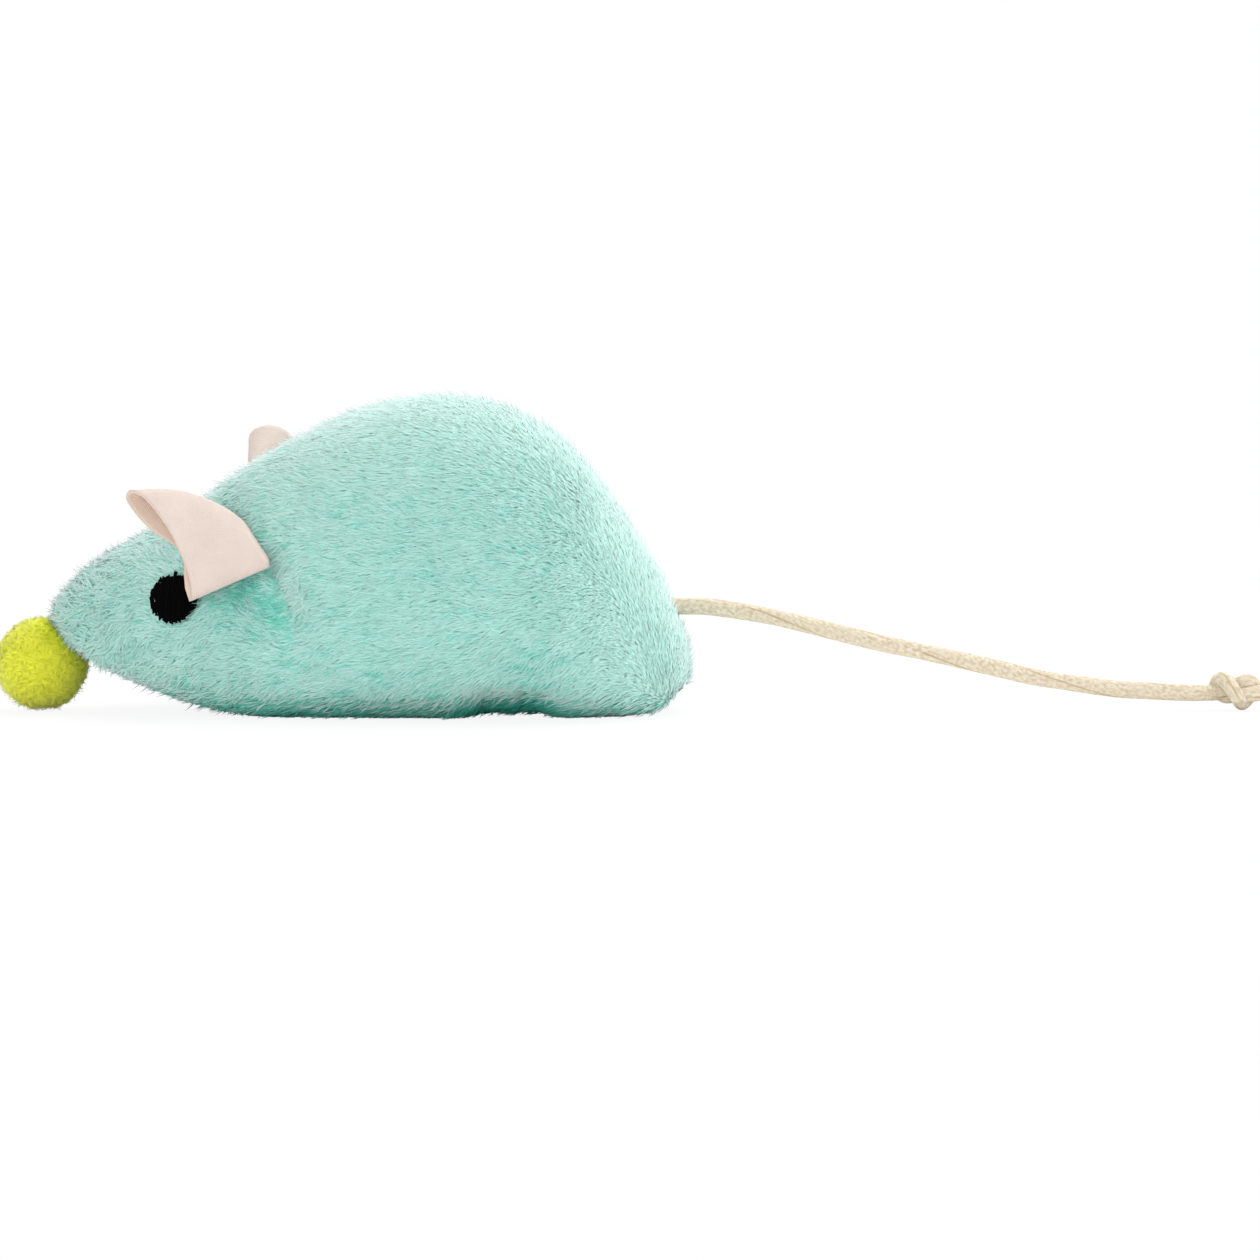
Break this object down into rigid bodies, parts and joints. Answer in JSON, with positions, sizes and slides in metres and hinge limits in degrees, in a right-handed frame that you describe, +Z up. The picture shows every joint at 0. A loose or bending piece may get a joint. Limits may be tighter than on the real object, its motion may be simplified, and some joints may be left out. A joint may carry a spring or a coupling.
{
  "type": "catnip mouse",
  "caption": "Stuffed plush mouse for a cat, with folded ribbon ears, embroidered eyes, a pompom nose, a knotted cord tail and catnip in a sachet inside.",
  "frame": {"origin": "on the floor under the body, in its middle plane, 37 mm behind the tip of the snout", "axes": "+X from the snout to the rump, +Y to the mouse's right, +Z up"},
  "size_m": [0.1742, 0.0486, 0.0411],
  "materials": {
    "mint_plush": "short streaky plush pile",
    "pink_ribbon": "matt woven ribbon",
    "black_thread": "satin embroidery thread",
    "lime_pile": "felted pompom yarn",
    "cream_cord": "glossy twisted satin cord",
    "mint_thread": "sewing thread",
    "white_fibre": "loose fibre filling",
    "muslin": "thin plain-woven cloth",
    "dried_leaf": "dry crumbled leaf"
  },
  "bodies": {
    "mouse": {"left_side_panel": "mint_plush", "right_side_panel": "mint_plush", "base_panel": "mint_plush", "left_eye": "black_thread", "right_eye": "black_thread", "left_ear_sewn_edge": "pink_ribbon", "right_ear_sewn_edge": "pink_ribbon", "left_ear_thread": "mint_thread", "right_ear_thread": "mint_thread", "left_base_seam_thread": "mint_thread", "right_base_seam_thread": "mint_thread", "back_seam_thread": "mint_thread", "closing_stitch": "mint_thread", "nose_stitch": "mint_thread", "tail_sewn_end": "cream_cord", "tail_tack_thread": "mint_thread", "upper_filling": "white_fibre", "lower_filling": "white_fibre", "sachet_top": "muslin", "sachet_bottom": "muslin", "sachet_thread": "mint_thread", "dried_catnip": "dried_leaf"},
    "left_ear": {"left_ear": "pink_ribbon"},
    "right_ear": {"right_ear": "pink_ribbon"},
    "nose": {"nose_pompom": "lime_pile", "pompom_tie": "lime_pile"},
    "tail_base": {"tail_root": "cream_cord"},
    "tail": {"tail_cord": "cream_cord", "tail_knot": "cream_cord", "tail_end": "cream_cord"}
  },
  "joints": [
    {"name": "left_ear_fold", "type": "hinge", "parent": "mouse", "child": "left_ear", "pos_m": [-0.01047, -0.01649, 0.02245], "axis": [-0.4766, 0.5238, 0.706], "range_deg": [0, 110], "stiffness_Nm_per_rad": 0.0004},
    {"name": "right_ear_fold", "type": "hinge", "parent": "mouse", "child": "right_ear", "pos_m": [-0.01047, 0.01649, 0.02245], "axis": [0.4766, 0.5238, -0.706], "range_deg": [-90, 15], "stiffness_Nm_per_rad": 0.0004},
    {"name": "nose_tilt", "type": "hinge", "parent": "mouse", "child": "nose", "pos_m": [-0.0357, 0, 0.00966], "axis": [0, 1, 0], "range_deg": [-10, 10], "stiffness_Nm_per_rad": 0.003},
    {"name": "tail_swing", "type": "hinge", "parent": "mouse", "child": "tail_base", "pos_m": [0.0436, 0, 0.0136], "axis": [0, 0, 1], "range_deg": [-45, 45]},
    {"name": "tail_lift", "type": "hinge", "parent": "tail_base", "child": "tail", "pos_m": [0.04857, 0, 0.0134], "axis": [0, -1, 0], "range_deg": [0, 60]}
  ]
}
